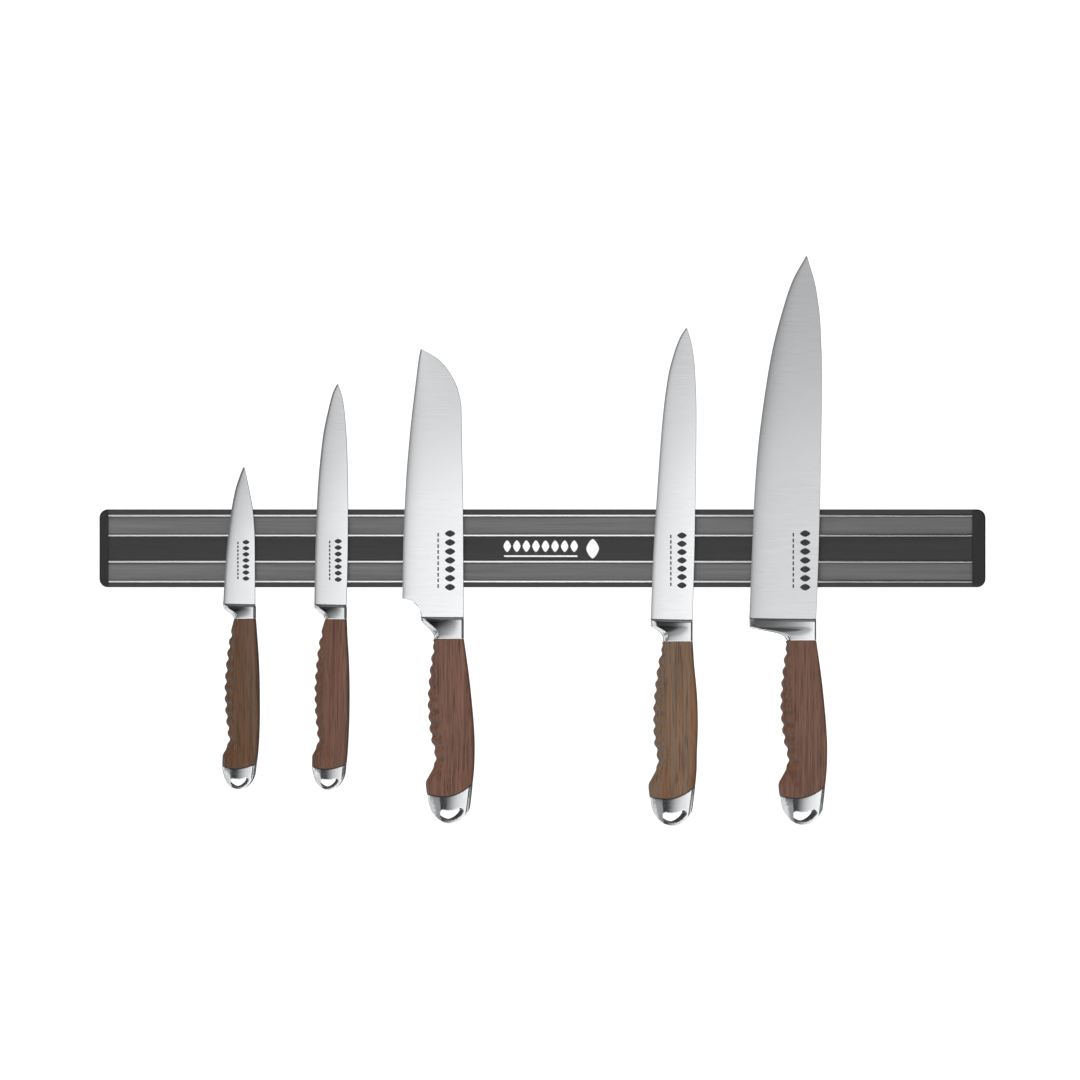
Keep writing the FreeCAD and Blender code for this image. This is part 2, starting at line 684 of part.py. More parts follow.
def build_knife(name, knife):
    blade_solid = blade(knife)
    skin = handle_skin(knife)
    rod = tang_rod(knife, 0)
    rod_hole = tang_rod(knife, rod_clearance)
    lower = below_seam(knife)
    pieces = {
        "blade": blade_solid,
        "bolster": bolster(knife, blade_solid).cut(rod_hole),
        "tang": rod,
        "grip": skin.cut(lower).cut(rod_hole),
        "butt": skin.common(lower).common(butt_end(knife)).cut(hang_hole(knife)).cut(rod_hole),
    }
    for piece, shape in pieces.items():
        save(name + "_" + piece, place(shape, knife))


# ---------------------------------------------------------------- the whole model
os.makedirs("parts", exist_ok=True)
save("rack_body", rack_body())
save("end_cap_left", end_cap(-1))
save("end_cap_right", end_cap(1))
for number, low in enumerate((magnet_outer, channel_inner, -magnet_inner, -channel_outer), start=1):
    save("pole_rail_" + str(number), pole_rail(low))
for word, side in (("upper", 1), ("lower", -1)):
    save("magnet_row_" + word, magnet_row(side))
    save("magnet_cover_" + word, magnet_cover(side))
save("center_strip", center_strip())
for name, knife in KNIVES.items():
    build_knife(name, knife)
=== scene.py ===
import bmesh
import bpy
import math
from mathutils import Matrix, Vector


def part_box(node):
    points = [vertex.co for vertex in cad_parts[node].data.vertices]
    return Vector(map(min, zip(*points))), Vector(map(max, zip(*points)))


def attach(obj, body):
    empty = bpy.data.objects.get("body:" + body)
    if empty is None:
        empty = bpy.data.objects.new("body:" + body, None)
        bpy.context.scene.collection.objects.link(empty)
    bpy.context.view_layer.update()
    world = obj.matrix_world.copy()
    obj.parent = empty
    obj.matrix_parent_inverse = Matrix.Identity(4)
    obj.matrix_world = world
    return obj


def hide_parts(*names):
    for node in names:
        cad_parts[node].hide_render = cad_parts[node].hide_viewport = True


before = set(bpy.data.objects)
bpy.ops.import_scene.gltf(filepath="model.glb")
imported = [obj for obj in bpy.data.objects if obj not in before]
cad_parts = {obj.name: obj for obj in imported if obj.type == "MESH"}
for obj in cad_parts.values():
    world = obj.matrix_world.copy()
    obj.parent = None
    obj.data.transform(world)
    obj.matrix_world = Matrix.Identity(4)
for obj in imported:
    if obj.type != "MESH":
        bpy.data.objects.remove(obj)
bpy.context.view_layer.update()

KNIVES = ["paring", "utility", "santoku", "carving", "chef"]
MM = 0.001


# ---------------------------------------------------------------- materials
class Tree:
    """A node tree under construction, with short calls for the nodes that it uses."""

    def __init__(self, tree):
        self.nodes = tree.nodes
        self.links = tree.links

    def ramp(self, value, stops):
        node = self.nodes.new("ShaderNodeValToRGB")
        elements = node.color_ramp.elements
        while len(elements) < len(stops):
            elements.new(0.5)
        for element, (pos, color) in zip(elements, stops):
            element.position = pos
            element.color = (*color, 1)
        self.links.new(value, node.inputs["Fac"])
        return node.outputs["Color"]

    def mix(self, factor, a, b, how="MIX"):
        """Mixes colours; each of the three inputs is a constant or another node's output."""
        node = self.nodes.new("ShaderNodeMix")
        node.data_type = "RGBA"
        node.blend_type = how
        for socket, value in ((node.inputs[0], factor), (node.inputs[6], a), (node.inputs[7], b)):
            if isinstance(value, (float, tuple)):
                socket.default_value = value
            else:
                self.links.new(value, socket)
        return node.outputs[2]


class Mat(Tree):
    """A material under construction."""

    def __init__(self, name, metal=0.0):
        self.mat = bpy.data.materials.new(name)
        self.mat.use_nodes = True
        super().__init__(self.mat.node_tree)
        self.shader = self.nodes["Principled BSDF"]
        self.shader.inputs["Metallic"].default_value = metal
        self.coord = self.nodes.new("ShaderNodeTexCoord").outputs["Object"]

    def scaled(self, scale, offset):
        node = self.nodes.new("ShaderNodeMapping")
        node.inputs["Scale"].default_value = scale
        node.inputs["Location"].default_value = offset
        self.links.new(self.coord, node.inputs["Vector"])
        return node.outputs["Vector"]

    def noise(self, scale, detail=4.0, rough=0.55, distortion=0.0, offset=(0, 0, 0)):
        """Noise over the object, with its own scale along each axis."""
        node = self.nodes.new("ShaderNodeTexNoise")
        node.inputs["Scale"].default_value = 1.0
        node.inputs["Detail"].default_value = detail
        node.inputs["Roughness"].default_value = rough
        node.inputs["Distortion"].default_value = distortion
        self.links.new(self.scaled(scale, offset), node.inputs["Vector"])
        return node.outputs["Fac"]

    def spread(self, value, low, high):
        """Noise's usual range, stretched to run from low to high."""
        node = self.nodes.new("ShaderNodeMapRange")
        ends = {"From Min": 0.3, "From Max": 0.7, "To Min": low, "To Max": high}
        for key, number in ends.items():
            node.inputs[key].default_value = number
        self.links.new(value, node.inputs["Value"])
        return node.outputs["Result"]

    def finish(self, color, rough, height, strength, depth):
        """Wires up the shader, with a bump of the given strength and depth in metres."""
        self.links.new(color, self.shader.inputs["Base Color"])
        self.links.new(rough, self.shader.inputs["Roughness"])
        node = self.nodes.new("ShaderNodeBump")
        node.inputs["Strength"].default_value = strength
        node.inputs["Distance"].default_value = depth
        self.links.new(height, node.inputs["Height"])
        self.links.new(node.outputs["Normal"], self.shader.inputs["Normal"])
        return self.mat


def times(color, share):
    return tuple(min(1.0, c * share) for c in color)


def plastic(name, tone, rough):
    m = Mat(name)
    grain = m.noise((2600, 2600, 2600), 3)
    color = m.ramp(grain, [(0.3, times(tone, 0.8)), (0.7, times(tone, 1.25))])
    return m.finish(color, m.spread(grain, rough - 0.05, rough + 0.08), grain, 0.25, 0.0001)


def brushed(name, tone, rough, contrast, lines=(30, 900, 2600), metal=0.0, strength=0.3):
    """Fine streaks along the rack over a broader, fainter unevenness."""
    m = Mat(name, metal=metal)
    streaks = m.noise(lines, 6, 0.6)
    broad = m.noise((6, 60, 300), 3)
    both = m.mix(0.45, streaks, broad)
    color = m.ramp(both, [(0.32, times(tone, 1 - contrast)), (0.68, times(tone, 1 + contrast))])
    return m.finish(color, m.spread(both, rough - 0.08, rough + 0.1), streaks, strength, 0.0001)


def steel(name, tone, rough, lines, strength, contrast=0.05):
    """Polished steel with fine grinding lines."""
    m = Mat(name, metal=1.0)
    streaks = m.noise(lines, 5, 0.6)
    color = m.ramp(streaks, [(0.3, times(tone, 1 - contrast)), (0.7, times(tone, 1 + contrast))])
    return m.finish(color, m.spread(streaks, rough - 0.04, rough + 0.06), streaks, strength, 0.00005)


def ferrite(name):
    m = Mat(name)
    grain = m.noise((1800, 1800, 1800), 4)
    color = m.ramp(grain, [(0.3, (0.035, 0.034, 0.036)), (0.7, (0.075, 0.073, 0.076))])
    return m.finish(color, m.spread(grain, 0.6, 0.8), grain, 0.5, 0.0002)


def walnut(name, tone, warm, seed):
    """Long grain down the handle, warmer and darker bands, and short open pores."""
    m = Mat(name)
    grain = m.noise((850, 850, 14), 5, 0.6, 0.4, (seed, seed * 0.7, seed * 1.3))
    bands = m.noise((110, 110, 6), 3, 0.5, 1.2, (seed * 2, 0, seed))
    pores = m.noise((1900, 1900, 60), 2, 0.5, 0.0, (0, seed, 0))
    wood = m.ramp(grain, [(0.32, times(tone, 0.62)), (0.5, tone), (0.68, times(tone, 1.32))])
    tint = m.ramp(bands, [(0.38, (1, 1, 1)), (0.62, warm)])
    dots = m.ramp(pores, [(0.36, (0.5, 0.46, 0.44)), (0.45, (1, 1, 1))])
    color = m.mix(0.9, m.mix(0.9, wood, tint, "MULTIPLY"), dots, "MULTIPLY")
    return m.finish(color, m.spread(grain, 0.38, 0.5), pores, 0.25, 0.0001)


STEEL = (0.80, 0.815, 0.83)
ACROSS = (60, 900, 2600)        # grinding lines across the knife
ALONG = (2600, 900, 60)         # and along it
MATERIALS = {
    "rack_plastic": plastic("rack_plastic", (0.030, 0.030, 0.032), 0.45),
    "cap_plastic": plastic("cap_plastic", (0.010, 0.010, 0.011), 0.38),
    "fascia_black": brushed("fascia_black", (0.025, 0.025, 0.026), 0.55, 0.3),
    "cover_grey": brushed("cover_grey", (0.105, 0.105, 0.107), 0.5, 0.3),
    "pole_steel": brushed("pole_steel", (0.96, 0.96, 0.97), 0.14, 0.01, metal=1.0, strength=0.02),
    "ferrite": ferrite("ferrite"),
    "blade_steel": steel("blade_steel", times(STEEL, 1.14), 0.13, ACROSS, 0.02, 0.015),
    # painted shade: the chef's blade is the same steel as the others, given a darker tone (0.83 against
    # 1.14) so it looks shaded
    "chef_blade_painted_shade_steel": steel("chef_blade_painted_shade_steel", times(STEEL, 0.83), 0.13, ACROSS, 0.02, 0.015),
    "bolster_steel": steel("bolster_steel", times(STEEL, 1.06), 0.12, ACROSS, 0.02, 0.02),
    "butt_steel": steel("butt_steel", times(STEEL, 1.06), 0.11, ACROSS, 0.02, 0.02),
    "tang_steel": steel("tang_steel", (0.5, 0.5, 0.51), 0.4, ALONG, 0.2),
    "walnut_paring": walnut("walnut_paring", (0.083, 0.050, 0.030), (1.2, 0.9, 0.7), 3.1),
    "walnut_utility": walnut("walnut_utility", (0.106, 0.056, 0.038), (1.1, 0.85, 0.8), 8.8),
    "walnut_santoku": walnut("walnut_santoku", (0.122, 0.063, 0.043), (1.05, 0.9, 0.85), 14.5),
    "walnut_carving": walnut("walnut_carving", (0.128, 0.084, 0.055), (1.25, 0.85, 0.6), 20.2),
    "walnut_chef": walnut("walnut_chef", (0.112, 0.059, 0.040), (1.05, 0.9, 0.85), 25.9),
    "etched": steel("etched", (0.10, 0.10, 0.105), 0.5, ALONG, 0.1, 0.2),
    "printed": plastic("printed", (0.72, 0.72, 0.73), 0.5),
}

PIECE_MATERIALS = {
    "rack_body": "rack_plastic", "end_cap_left": "cap_plastic", "end_cap_right": "cap_plastic",
    "center_strip": "fascia_black",
}
for number in range(1, 5):
    PIECE_MATERIALS["pole_rail_%d" % number] = "pole_steel"
for row in ("upper", "lower"):
    PIECE_MATERIALS["magnet_row_" + row] = "ferrite"
    PIECE_MATERIALS["magnet_cover_" + row] = "cover_grey"
for knife in KNIVES:
    PIECE_MATERIALS[knife + "_blade"] = "blade_steel"
    PIECE_MATERIALS[knife + "_bolster"] = "bolster_steel"
    PIECE_MATERIALS[knife + "_butt"] = "butt_steel"
    PIECE_MATERIALS[knife + "_tang"] = "tang_steel"
    PIECE_MATERIALS[knife + "_grip"] = "walnut_" + knife
PIECE_MATERIALS["chef_blade"] = "chef_blade_painted_shade_steel"

for name, slot in PIECE_MATERIALS.items():
    obj = bpy.data.objects[name]
    obj.data.materials.clear()
    obj.data.materials.append(MATERIALS[slot])


# ---------------------------------------------------------------- pieces
def add_piece(name, mesh, body, slot, *nodes):
    """A new object that rides on a body, and stands for the named CAD nodes."""
    obj = bpy.data.objects.new(name, mesh)
    bpy.context.scene.collection.objects.link(obj)
    mesh.materials.clear()
    mesh.materials.append(MATERIALS[slot])
    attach(obj, body)
    if nodes:
        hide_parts(*nodes)
    return obj


def baked(obj):
    """The object's mesh with its modifiers applied."""
    graph = bpy.context.evaluated_depsgraph_get()
    mesh = bpy.data.meshes.new_from_object(obj.evaluated_get(graph))
    obj.modifiers.clear()
    obj.data = mesh
    return mesh


def shaded(mesh, crease):
    """Smooth shading, except across edges sharper than this many degrees."""
    mesh.polygons.foreach_set("use_smooth", [True] * len(mesh.polygons))
    mesh.set_sharp_from_angle(angle=math.radians(crease))


def closed_mesh(name, verts, faces):
    """A mesh whose faces all look outwards."""
    mesh = bpy.data.meshes.new(name)
    mesh.from_pydata(verts, [], faces)
    bm = bmesh.new()
    bm.from_mesh(mesh)
    bmesh.ops.recalc_face_normals(bm, faces=bm.faces)
    bm.to_mesh(mesh)
    bm.free()
    return mesh


def forged(node, body, voxel, rounds, crease):
    """The CAD node with every edge softened, as grinding and polishing leave it."""
    mesh = bpy.data.objects[node].data.copy()
    obj = add_piece(node + "_finished", mesh, body, PIECE_MATERIALS[node], node)
    weld = obj.modifiers.new("weld", "WELD")
    weld.merge_threshold = WELD_WITHIN
    remesh = obj.modifiers.new("remesh", "REMESH")
    remesh.mode = "VOXEL"
    remesh.voxel_size = voxel
    smooth = obj.modifiers.new("smooth", "SMOOTH")
    smooth.factor = 0.5
    smooth.iterations = rounds
    shaded(baked(obj), crease)
    return obj


def bevelled_box(node, body, width):
    """The CAD box with rounded edges."""
    low, high = (Vector(c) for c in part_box(node))
    mesh = bpy.data.meshes.new(node + "_finished")
    bm = bmesh.new()
    bmesh.ops.create_cube(bm, size=1)
    bmesh.ops.scale(bm, vec=high - low, verts=bm.verts)
    bmesh.ops.translate(bm, vec=(low + high) / 2, verts=bm.verts)
    bmesh.ops.bevel(bm, geom=bm.edges[:], offset=width, segments=3, profile=0.5, affect="EDGES")
    bm.to_mesh(mesh)
    bm.free()
    shaded(mesh, BOX_CREASE)
    return add_piece(node + "_finished", mesh, body, PIECE_MATERIALS[node], node)


def fluted(obj, top, first, pitch):
    """Carries the finger scallops across the facets of the edge side.

    The first scallop's middle is `first` below the top, and the others follow at the pitch, in mm.
    """
    mesh = obj.data
    normals = [vert.normal.copy() for vert in mesh.vertices]
    for vert, normal in zip(mesh.vertices, normals):
        below = (top - vert.co.z) / MM
        if first - pitch / 2 <= below <= first + (SCALLOPS - 0.5) * pitch:
            facing = min(1.0, max(0.0, (-normal.x - FLUTE_FROM) / FLUTE_FADE))
            wave = (0.5 + 0.5 * math.cos(2 * math.pi * (below - first) / pitch)) ** FLUTE_SHARPNESS
            vert.co -= normal * (FLUTE_DEPTH * facing * wave)
    mesh.update()


WELD_WITHIN = 0.005 * MM
BOX_CREASE = 40         # degrees
STEEL_CREASE = 50
WOOD_CREASE = 60
RAIL_BEVEL = 0.25 * MM
COVER_BEVEL = 0.2 * MM
STEEL_VOXEL = 0.22 * MM
WOOD_VOXEL = 0.4 * MM
SCALLOPS = 10
FLUTE_DEPTH = 0.45 * MM
FLUTE_FROM = 0.3        # the flute starts where the surface turns this far to the edge side
FLUTE_FADE = 0.2        # and has its full depth this much further
FLUTE_SHARPNESS = 1.6
SMALL_SCALLOPS = (9.6, 6.5)     # first scallop and pitch
LARGE_SCALLOPS = (7.4, 6.7)
SCALLOP_PLACES = {"paring": SMALL_SCALLOPS, "utility": SMALL_SCALLOPS, "santoku": LARGE_SCALLOPS,
                  "carving": LARGE_SCALLOPS, "chef": LARGE_SCALLOPS}

for number in range(1, 5):
    bevelled_box("pole_rail_%d" % number, "rack", RAIL_BEVEL)
for node in ("magnet_cover_upper", "magnet_cover_lower", "center_strip"):
    bevelled_box(node, "rack", COVER_BEVEL)
for knife in KNIVES:
    body = knife + "_knife"
    forged(knife + "_bolster", body, STEEL_VOXEL, 3, STEEL_CREASE)
    forged(knife + "_butt", body, STEEL_VOXEL, 4, STEEL_CREASE)
    grip = forged(knife + "_grip", body, WOOD_VOXEL, 3, WOOD_CREASE)
    fluted(grip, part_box(knife + "_bolster")[0][2], *SCALLOP_PLACES[knife])


# ---------------------------------------------------------------- blades
def smooth_curve(points):
    """A smooth function through (position, value) points, with no overshoot."""
    pos = [p[0] for p in points]
    val = [p[1] for p in points]
    slopes = [(val[i + 1] - val[i]) / (pos[i + 1] - pos[i]) for i in range(len(pos) - 1)]
    ends = [slopes[0]]
    for before, after in zip(slopes, slopes[1:]):
        ends.append(0.0 if before * after <= 0 else 2 * before * after / (before + after))
    ends.append(slopes[-1])

    def at(x):
        i = 0
        while i < len(slopes) - 1 and x > pos[i + 1]:
            i += 1
        step = pos[i + 1] - pos[i]
        t = min(1.0, max(0.0, (x - pos[i]) / step))
        low = (1 + 2 * t) * (1 - t) ** 2 * val[i] + t * t * (3 - 2 * t) * val[i + 1]
        return low + step * (t * (1 - t) ** 2 * ends[i] - t * t * (1 - t) * ends[i + 1])

    return at


# In mm. Outlines run from the shoulder (0) to the point (1), as shares of blade length and width.
# heel is the height of the concave cut above the bolster, and root the blade's width below it.
BLADES = {
    "paring": {
        "length": 77.2, "width": 18.2, "thick": 1.8,
        "edge": [(0, 1), (0.31, 0.92), (0.61, 0.79), (0.82, 0.635), (0.935, 0.48), (1, 0.356)],
        "back": [(0, 0), (0.47, 0.01), (0.65, 0.055), (0.82, 0.175), (0.935, 0.28), (1, 0.356)],
    },
    "utility": {
        "length": 124.3, "width": 18.2, "thick": 1.9,
        "edge": [(0, 1), (0.24, 0.967), (0.5, 0.9), (0.75, 0.742), (0.895, 0.544), (0.966, 0.4),
                 (1, 0.275)],
        "back": [(0, 0), (0.16, -0.038), (0.4, -0.055), (0.68, -0.027), (0.84, 0.038),
                 (0.933, 0.12), (1, 0.275)],
    },
    "santoku": {
        "length": 151.1, "width": 34.8, "thick": 2.2,
        "edge": [(0, 1), (0.265, 0.98), (0.5, 0.937), (0.695, 0.868), (0.86, 0.785), (0.973, 0.718),
                 (1, 0.69)],
        "back": [(0, 0), (0.36, 0.006), (0.66, 0.029), (0.78, 0.037), (0.855, 0.103), (0.914, 0.233),
                 (0.96, 0.40), (1, 0.69)],
        "heel": 10.4, "root": 24.1,
    },
    "carving": {
        "length": 164.3, "width": 23.6, "thick": 2.2,
        "edge": [(0, 1), (0.18, 0.953), (0.475, 0.83), (0.70, 0.708), (0.834, 0.585), (0.92, 0.428),
                 (0.973, 0.275), (1, 0.144)],
        "back": [(0, 0), (0.22, -0.047), (0.475, -0.076), (0.70, -0.093), (0.86, -0.055),
                 (0.943, 0.023), (1, 0.144)],
    },
    "chef": {
        "length": 204.4, "width": 37.7, "thick": 2.4,
        "edge": [(0, 1), (0.17, 0.963), (0.34, 0.923), (0.47, 0.87), (0.60, 0.782), (0.734, 0.663),
                 (0.866, 0.477), (0.934, 0.347), (1, 0.143)],
        "back": [(0, 0), (0.18, -0.04), (0.4, -0.066), (0.67, -0.0875), (0.81, -0.064), (0.91, 0.003),
                 (1, 0.143)],
    },
}
EDGE_THICK = 0.2
BEVEL_THICK = 0.5
BEVEL_WIDE = 0.9
BEVEL_FROM = 0.4        # the bevel starts no nearer the spine than this share of the width
TIP_HALF = 0.3          # the point is blunt by this much to each side,
TIP_POWER = 20          # all of it in the last millimetres
FULL_SHARE = 0.45       # the spine keeps its thickness up to this share of the length
BELLY = 1.8             # the front face is ground convex,
LATE_POWER = 10         # with some of its slope close to the edge:
WIDE_BLADE = 30.0       # from this width on, LATE_WIDE of it
LATE_WIDE = 0.35
LATE_NARROW = 0.12
HEEL_RISE = 0.87        # the heel's curve: its middle point's height as a share of the cut's,
HEEL_SWAY = 0.05        # and how far it lies from the root
SPINE_ROUND = 0.2
THIN = 0.02             # half thickness that a rounded spine keeps at least
BLADE_CREASE = 8        # degrees
TONGUE = 3.0            # CAD tongue below the shoulder
ROOT = 1.5              # the visible blade runs this far into the bolster
REST_GAP = 0.15
ROWS = 150
HEEL_ROWS = 24
COLUMNS = 22


class Blade:
    """A ground blade in its knife's frame: v across from the spine, h up from the shoulder, in mm."""

    def __init__(self, knife):
        self.spec = BLADES[knife]
        self.back_at = smooth_curve(self.spec["back"])
        self.edge_at = smooth_curve(self.spec["edge"])
        thick = self.spec["thick"]
        self.turn = math.atan((thick - BEVEL_THICK) / 2 / (self.spec["width"] - BEVEL_WIDE))
        low, high = (Vector(c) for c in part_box(knife + "_blade"))
        bulge = -min(value for _, value in self.spec["back"]) * self.spec["width"]
        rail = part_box("pole_rail_1")[0][1] / MM
        stand_off = REST_GAP + thick / 2 * math.cos(self.turn)
        spine = high.x / MM - bulge * math.cos(self.turn)
        self.origin = Vector((spine, rail - stand_off, low.z / MM + TONGUE))

    def back(self, h):
        share = h / self.spec["length"]
        return self.spec["width"] * self.back_at(share) - TIP_HALF * max(0.0, share) ** TIP_POWER

    def edge(self, h):
        share = h / self.spec["length"]
        return self.spec["width"] * self.edge_at(share) + TIP_HALF * max(0.0, share) ** TIP_POWER

    def limit(self, h):
        """The edge side, or the concave cut above the bolster where the blade has one."""
        if "heel" not in self.spec or h >= self.spec["heel"]:
            return self.edge(h)
        heel = self.spec["heel"]
        root = self.spec["root"]
        sag = self.spec["width"] - root
        if h <= 0:
            return root
        low, high = 0.0, 1.0
        for _ in range(30):
            t = (low + high) / 2
            if 2 * t * (1 - t) * HEEL_RISE * heel + t * t * heel < h:
                low = t
            else:
                high = t
        return (1 - t) ** 2 * root + 2 * t * (1 - t) * (root + HEEL_SWAY * sag) + t * t * (root + sag)

    def half(self, v, h, side):
        """Half thickness at a place; side -1 is the front."""
        share = max(0.0, h / self.spec["length"])
        past = max(0.0, share - FULL_SHARE) / (1 - FULL_SHARE)
        spine = self.spec["thick"] / 2
        spine -= (spine - BEVEL_THICK / 2) * min(1.0, past) ** 2
        back = self.back(h)
        line = max(back + BEVEL_FROM * (self.edge(h) - back), self.edge(h) - BEVEL_WIDE)
        if v > line:
            t = min(1.0, (v - line) / (self.edge(h) - line))
            return BEVEL_THICK / 2 + t * (EDGE_THICK - BEVEL_THICK) / 2
        t = max(0.0, (v - back) / (line - back))
        if side < 0:
            late = LATE_WIDE if self.spec["width"] > WIDE_BLADE else LATE_NARROW
            t = (1 - late) * t ** BELLY + late * t ** LATE_POWER
        return spine + (BEVEL_THICK / 2 - spine) * t

    def world(self, v, y, h):
        """A place on the blade, in metres."""
        point = Matrix.Rotation(-self.turn, 3, "Z") @ Vector((-v, y, h)) + self.origin
        return point * MM

    def surface(self, v, h, proud):
        """A place on the front face, proud of it by so many mm."""
        return self.world(v, -self.half(v, h, -1) - proud, h)

    def heights(self):
        """The heights of the cross-sections, close together where the outline bends."""
        length = self.spec["length"]
        heel = self.spec.get("heel", 0.0)
        rows = [-ROOT, -ROOT / 2]
        if heel:
            rows += [heel * (1 - (1 - i / HEEL_ROWS) ** 2.2) for i in range(HEEL_ROWS)]
            rows.append(heel - 0.002)
        rise = length - heel
        rows += [heel + rise * math.sin(math.pi / 2 * i / ROWS) ** 0.9 for i in range(ROWS + 1)]
        return sorted(set(rows))

    def mesh(self, name):
        rings = []
        for h in self.heights():
            back = self.back(h)
            limit = self.limit(h)
            line = max(back + BEVEL_FROM * (limit - back), limit - BEVEL_WIDE)
            inset = min(SPINE_ROUND, 0.2 * (limit - back))
            across = [back + inset + (line - back - inset) * i / COLUMNS for i in range(COLUMNS + 1)]
            across.append((line + limit) / 2)
            front = [self.world(v, -self.half(v, h, -1), h) for v in across]
            rear = [self.world(v, self.half(v, h, 1), h) for v in across]
            top = max(THIN, self.half(back, h, 1) - inset)
            end = self.half(limit, h, 1)
            ring = [self.world(back, top, h), self.world(back, -top, h)] + front
            ring += [self.world(limit, -end, h), self.world(limit, end, h)] + rear[::-1]
            rings.append(ring)
        count = len(rings[0])
        faces = []
        for r in range(len(rings) - 1):
            for i in range(count):
                j = (i + 1) % count
                faces.append((r * count + i, r * count + j, (r + 1) * count + j, (r + 1) * count + i))
        faces.append(tuple(range(count))[::-1])
        faces.append(tuple((len(rings) - 1) * count + i for i in range(count)))
        mesh = closed_mesh(name, [p for ring in rings for p in ring], faces)
        shaded(mesh, BLADE_CREASE)
        return mesh


blades = {}
for knife in KNIVES:
    blades[knife] = Blade(knife)
    name = knife + "_blade"
    mesh = blades[knife].mesh(name + "_ground")
    add_piece(name + "_ground", mesh, knife + "_knife", PIECE_MATERIALS[name], name)


# ---------------------------------------------------------------- marks
PROUD = 0.02            # a mark stands this far above the surface, in mm,
SUNK = 0.05             # and reaches this far below it
MARK_POINTS = 24


def lozenge(center, width, height):
    """A pointed leaf shape."""
    def pinched(number):
        return math.copysign(abs(number) ** 1.4, number)

    x, z = center
    turns = [2 * math.pi * i / MARK_POINTS for i in range(MARK_POINTS)]
    return [(x + width / 2 * pinched(math.cos(turn)), z + height / 2 * pinched(math.sin(turn)))
            for turn in turns]


def bar(center, width, height):
    x, z = center
    return [(x - width / 2, z - height / 2), (x + width / 2, z - height / 2),
            (x + width / 2, z + height / 2), (x - width / 2, z + height / 2)]


def plates(name, outlines, place, body, slot):
    """Very thin plates with these outlines; place(a, b, proud) puts a point on the surface."""
    verts = []
    faces = []
    for outline in outlines:
        start = len(verts)
        count = len(outline)
        verts += [place(a, b, PROUD) for a, b in outline] + [place(a, b, -SUNK) for a, b in outline]
        faces.append([start + i for i in range(count)])
        faces.append([start + count + i for i in range(count)][::-1])
        for i in range(count):
            j = (i + 1) % count
            faces.append([start + j, start + i, start + count + i, start + count + j])
    return add_piece(name, closed_mesh(name, verts, faces), body, slot)


# A blade's mark is a column of lozenges and a column of short bars beside it, plain stand-ins.
MARK_HEIGHT = -6.8      # its middle, in the frame
MARK_INSET = 5.4        # lozenges' middle from the spine, at size 1
MARK_STEP = 4.8         # and the bars' from the lozenges'
LOZENGE = (4.2, 2.7)
LOZENGES = 7
LOZENGE_PITCH = 3.6
BAR_WIDE = 0.8
BAR_HIGH = 1.5
BARS = 10
BAR_PITCH = 2.3
MARK_SIZE = {"paring": 0.95, "utility": 1.0, "santoku": 1.4, "carving": 1.3, "chef": 1.4}
for knife in KNIVES:
    blade = blades[knife]
    size = MARK_SIZE[knife]
    middle = MARK_HEIGHT - blade.origin.z
    across = blade.back(middle) + MARK_INSET * size
    outlines = []
    for i in range(LOZENGES):
        up = middle + (i - (LOZENGES - 1) / 2) * LOZENGE_PITCH * size
        outlines.append(lozenge((across, up), LOZENGE[0] * size, LOZENGE[1] * size))
    for i in range(BARS):
        up = middle + (i - (BARS - 1) / 2) * BAR_PITCH * size
        outlines.append(bar((across + MARK_STEP * size, up), BAR_WIDE, BAR_HIGH * size))
    plates(knife + "_mark", outlines, blade.surface, knife + "_knife", "etched")

strip_low, strip_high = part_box("center_strip")
strip_middle = (strip_low[2] + strip_high[2]) / 2


def on_strip(x, z, proud):
    """A place on the fascia, from its middle in mm."""
    return Vector((x * MM, strip_low[1] - proud * MM, strip_middle + z * MM))


# Eight lozenges over a line, and a large one to their right.
outlines = [lozenge((-19.9 + i * 5.4, 1.2), 4.2, 6.6) for i in range(8)]
outlines += [bar((-1.0, -4.4), 41.4, 0.9), lozenge((28.3, -0.2), 7.2, 11.0)]
plates("strip_mark", outlines, on_strip, "rack", "printed")

# ---------------------------------------------------------------- light
WORLD_STRENGTH = 1.15

scene = bpy.context.scene
scene.view_settings.view_transform = "Standard"


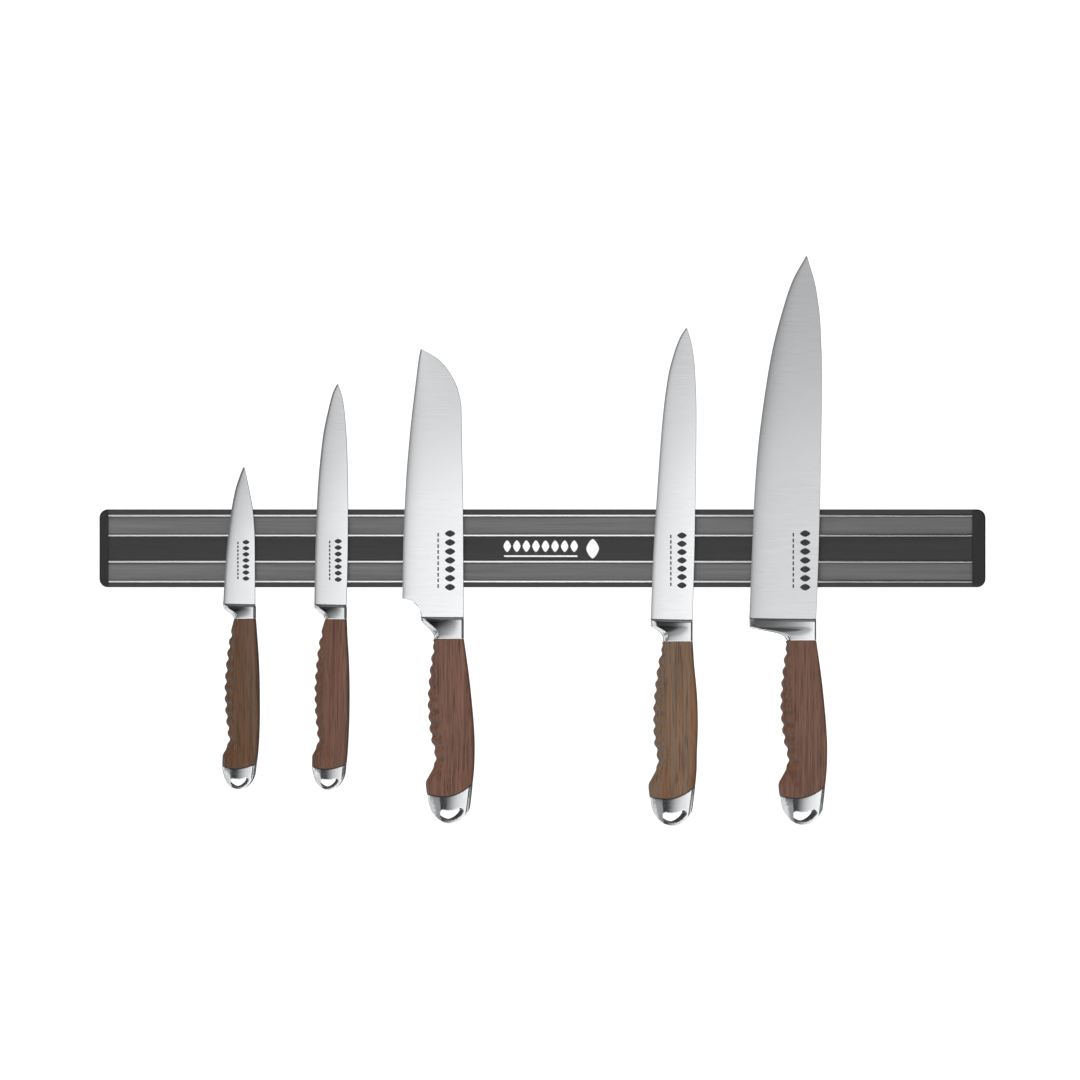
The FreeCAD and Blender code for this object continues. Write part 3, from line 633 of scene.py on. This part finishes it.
def studio_world():
    """A white backdrop; the metal mirrors a soft panel in front and a grey one to the left."""
    world = bpy.data.worlds.new("studio")
    world.use_nodes = True
    tree = Tree(world.node_tree)

    def levels(value, stops):
        """Grey levels by a direction's x, y or z, which runs from -1 to 1."""
        shift = tree.nodes.new("ShaderNodeMapRange")
        shift.inputs["From Min"].default_value = -1.0
        tree.links.new(value, shift.inputs["Value"])
        return tree.ramp(shift.outputs["Result"], [((pos + 1) / 2, (level,) * 3) for pos, level in stops])

    coord = tree.nodes.new("ShaderNodeTexCoord")
    split = tree.nodes.new("ShaderNodeSeparateXYZ")
    tree.links.new(coord.outputs["Generated"], split.inputs[0])
    x, y, z = (split.outputs[key] for key in "XYZ")
    front = levels(x, [(-1, 0.28), (-0.74, 0.28), (-0.64, 0.05), (-0.5, 0.07), (-0.42, 0.24),
                       (-0.33, 0.52), (-0.26, 0.7), (-0.2, 0.8), (-0.13, 0.9), (-0.05, 1.0),
                       (0.08, 1.0), (0.22, 0.08), (1, 0.08)])
    rear = levels(x, [(-1, 0.75), (-0.7, 0.75), (-0.5, 0.08), (1, 0.08)])
    height = levels(z, [(-1, 0.1), (-0.35, 0.12), (-0.16, 1.0), (0.008, 1.0), (0.032, 0.55),
                        (0.08, 0.5), (0.28, 0.48), (0.4, 0.14), (1, 0.1)])
    behind = levels(y, [(-1, 0), (-0.08, 0), (0.08, 1), (1, 1)])
    panels = tree.mix(1.0, tree.mix(behind, front, rear), height, "MULTIPLY")
    path = tree.nodes.new("ShaderNodeLightPath")
    shown = tree.mix(path.outputs["Is Camera Ray"], panels, (1, 1, 1, 1))
    background = tree.nodes["Background"]
    tree.links.new(shown, background.inputs["Color"])
    background.inputs["Strength"].default_value = WORLD_STRENGTH
    return world


scene.world = studio_world()


def soft_light(name, place, size, power):
    """A large soft light on the middle of the rack, which isn't mirrored in the metal."""
    data = bpy.data.lights.new(name, "AREA")
    data.shape = "SQUARE"
    data.size = size
    data.energy = power
    obj = bpy.data.objects.new(name, data)
    scene.collection.objects.link(obj)
    obj.location = place
    obj.rotation_euler = (-Vector(place)).to_track_quat("-Z", "Y").to_euler()
    obj.visible_glossy = False
    obj.visible_camera = False


soft_light("front_fill", (-0.4, -1.4, 1.9), 1.2, 84)
soft_light("side_fill", (1.9, -1.2, 0.2), 1.6, 9)
soft_light("back_fill", (0.4, 2.2, 1.2), 2.0, 40)

# ---------------------------------------------------------------- floor and camera
FLOOR_HALF = (1.8, 1.3, 1)
FLOOR_MIDDLE = (0, -0.5, -0.45)
CAMERA_PLACE = (-0.0014, -4.08, 0.0047)
CAMERA_LENS = 240

floor_mesh = bpy.data.meshes.new("floor")
bm = bmesh.new()
bmesh.ops.create_grid(bm, x_segments=1, y_segments=1, size=1.0)
bmesh.ops.scale(bm, vec=FLOOR_HALF, verts=bm.verts)
bmesh.ops.translate(bm, vec=FLOOR_MIDDLE, verts=bm.verts)
bm.to_mesh(floor_mesh)
bm.free()
floor = bpy.data.objects.new("floor", floor_mesh)
scene.collection.objects.link(floor)
pale = bpy.data.materials.new("pale_floor")
pale.use_nodes = True
pale_shader = pale.node_tree.nodes["Principled BSDF"]
pale_shader.inputs["Base Color"].default_value = (0.85, 0.85, 0.85, 1)
pale_shader.inputs["Roughness"].default_value = 0.9
floor_mesh.materials.append(pale)

camera_data = bpy.data.cameras.new("camera")
camera_data.lens = CAMERA_LENS
camera_data.sensor_width = 36
camera_data.clip_start = 0.01
camera_data.clip_end = 50
camera = bpy.data.objects.new("camera", camera_data)
scene.collection.objects.link(camera)
camera.location = CAMERA_PLACE
camera.rotation_euler = (math.pi / 2, 0, 0)
scene.camera = camera
